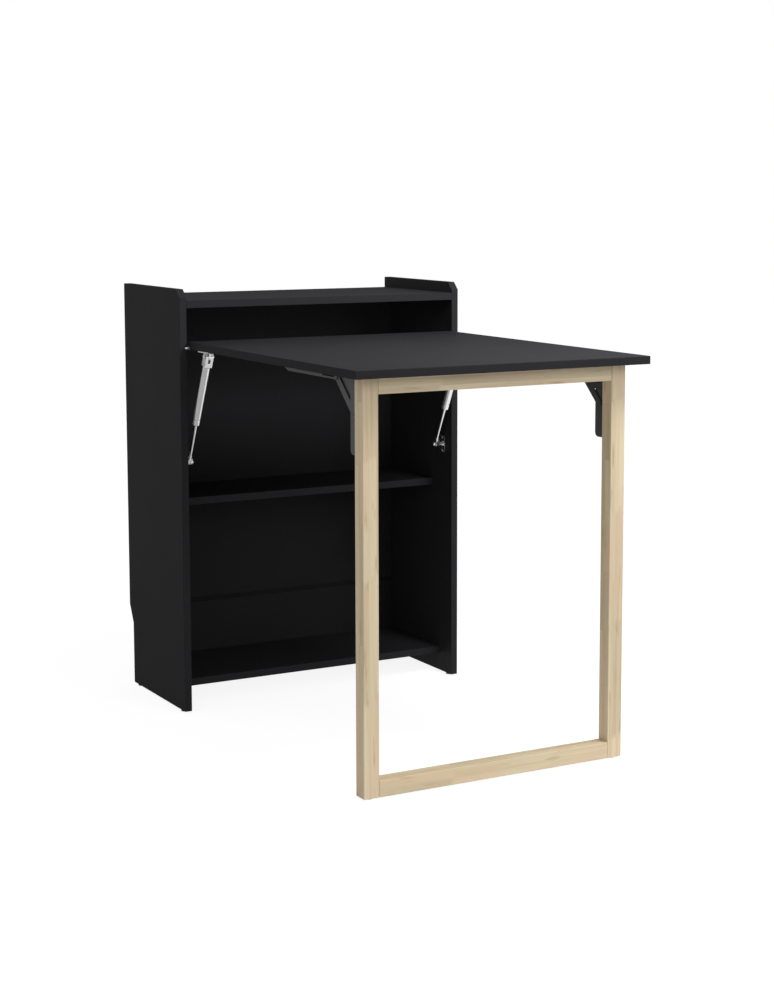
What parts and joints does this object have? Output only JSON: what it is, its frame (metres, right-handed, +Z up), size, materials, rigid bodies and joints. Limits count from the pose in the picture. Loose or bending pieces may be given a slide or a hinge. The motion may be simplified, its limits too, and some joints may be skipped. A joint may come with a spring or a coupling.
{
  "type": "folding desk",
  "caption": "Folding desk: low black bookcase with a hinged desk top on gas struts and a fold-up pale wooden leg frame on folding brackets.",
  "frame": {"origin": "on the floor, in the middle of the unfolded desk's box", "axes": "+Z up, +X to the right seen from the front, -Y towards the sitter's end, cabinet at +Y"},
  "size_m": [0.635, 1.015, 0.853],
  "materials": {
    "black_board": "matt black melamine-faced board",
    "black_sheet": "matt black lacquered fibre sheet",
    "black_plastic": "matt moulded",
    "dowel_wood": "plain beech",
    "zinc_alloy": "bright zinc plate",
    "screw_steel": "zinc plate",
    "strut_tube": "satin silver lacquer",
    "rod_chrome": "polished",
    "black_steel": "satin black powder coat",
    "pale_wood": "clear matt lacquer on pale finger-jointed wood"
  },
  "bodies": {
    "cabinet": {"side_panel_left": "black_board", "side_panel_right": "black_board", "top_shelf": "black_board", "middle_shelf": "black_board", "bottom_shelf": "black_board", "back_panel_upper": "black_sheet", "back_panel_lower": "black_sheet", "back_joint_strip": "black_plastic", "cabinet_glides": "black_plastic", "shelf_dowels": "dowel_wood", "cam_bolts": "zinc_alloy", "cam_locks": "zinc_alloy", "pivot_plate_left": "black_steel", "pivot_plate_right": "black_steel", "pivot_plate_screws": "black_steel", "strut_foot_left": "zinc_alloy", "strut_foot_right": "zinc_alloy", "strut_foot_screws": "screw_steel"},
    "desk_leaf": {"desk_top": "black_board", "pivot_pin_left": "zinc_alloy", "pivot_pin_right": "zinc_alloy", "strut_bracket_left": "zinc_alloy", "strut_bracket_right": "zinc_alloy", "strut_bracket_pins": "zinc_alloy", "strut_bracket_screws": "screw_steel", "table_arm_left": "black_steel", "table_arm_right": "black_steel", "table_arm_screws": "black_steel", "leg_pivot_pins": "black_steel"},
    "leg_frame": {"leg_left": "pale_wood", "leg_right": "pale_wood", "frame_top_rail": "pale_wood", "frame_bottom_rail": "pale_wood", "frame_dowels": "dowel_wood", "leg_glides": "black_plastic", "leg_arm_left": "black_steel", "leg_arm_right": "black_steel", "leg_arm_screws": "black_steel", "brace_pins": "black_steel"},
    "left_brace": {"brace_left": "black_steel"},
    "right_brace": {"brace_right": "black_steel"},
    "left_cylinder": {"strut_cylinder_left": "strut_tube", "strut_fork_left": "zinc_alloy"},
    "right_cylinder": {"strut_cylinder_right": "strut_tube", "strut_fork_right": "zinc_alloy"},
    "left_rod": {"strut_rod_left": "rod_chrome", "strut_rod_end_left": "zinc_alloy"},
    "right_rod": {"strut_rod_right": "rod_chrome", "strut_rod_end_right": "zinc_alloy"}
  },
  "joints": [
    {"name": "desktop_fold", "type": "hinge", "parent": "cabinet", "child": "desk_leaf", "pos_m": [0, 0.2, 0.738], "axis": [1, 0, 0], "range_deg": [0, 70]},
    {"name": "leg_fold", "type": "hinge", "parent": "desk_leaf", "child": "leg_frame", "pos_m": [0, -0.4265, 0.7], "axis": [1, 0, 0], "range_deg": [0, 90]},
    {"name": "left_brace_swing", "type": "hinge", "parent": "leg_frame", "child": "left_brace", "pos_m": [-0.25185, -0.4155, 0.66], "axis": [1, 0, 0], "range_deg": [-126, 0]},
    {"name": "left_strut_swing", "type": "hinge", "parent": "desk_leaf", "child": "left_cylinder", "pos_m": [-0.2855, 0.1405, 0.725], "axis": [1, 0, 0], "range_deg": [-80, 0]},
    {"name": "left_strut_stroke", "type": "slide", "parent": "left_cylinder", "child": "left_rod", "axis": [0, -0.4307, 0.9025], "range_m": [0, 0.064]},
    {"name": "right_brace_swing", "type": "hinge", "parent": "leg_frame", "child": "right_brace", "pos_m": [0.25185, -0.4155, 0.66], "axis": [1, 0, 0], "range_deg": [-126, 0]},
    {"name": "right_strut_swing", "type": "hinge", "parent": "desk_leaf", "child": "right_cylinder", "pos_m": [0.2855, 0.1405, 0.725], "axis": [1, 0, 0], "range_deg": [-80, 0]},
    {"name": "right_strut_stroke", "type": "slide", "parent": "right_cylinder", "child": "right_rod", "axis": [0, -0.4307, 0.9025], "range_m": [0, 0.064]}
  ],
  "couplings": [
    {"joint": "left_brace_swing", "follows": "leg_fold", "ratio": -1.3784},
    {"joint": "left_strut_swing", "follows": "desktop_fold", "ratio": -1.1179},
    {"joint": "left_strut_stroke", "follows": "desktop_fold", "m_per_rad": 0.051559},
    {"joint": "right_brace_swing", "follows": "leg_fold", "ratio": -1.3784},
    {"joint": "right_strut_swing", "follows": "desktop_fold", "ratio": -1.1179},
    {"joint": "right_strut_stroke", "follows": "desktop_fold", "m_per_rad": 0.051559}
  ]
}
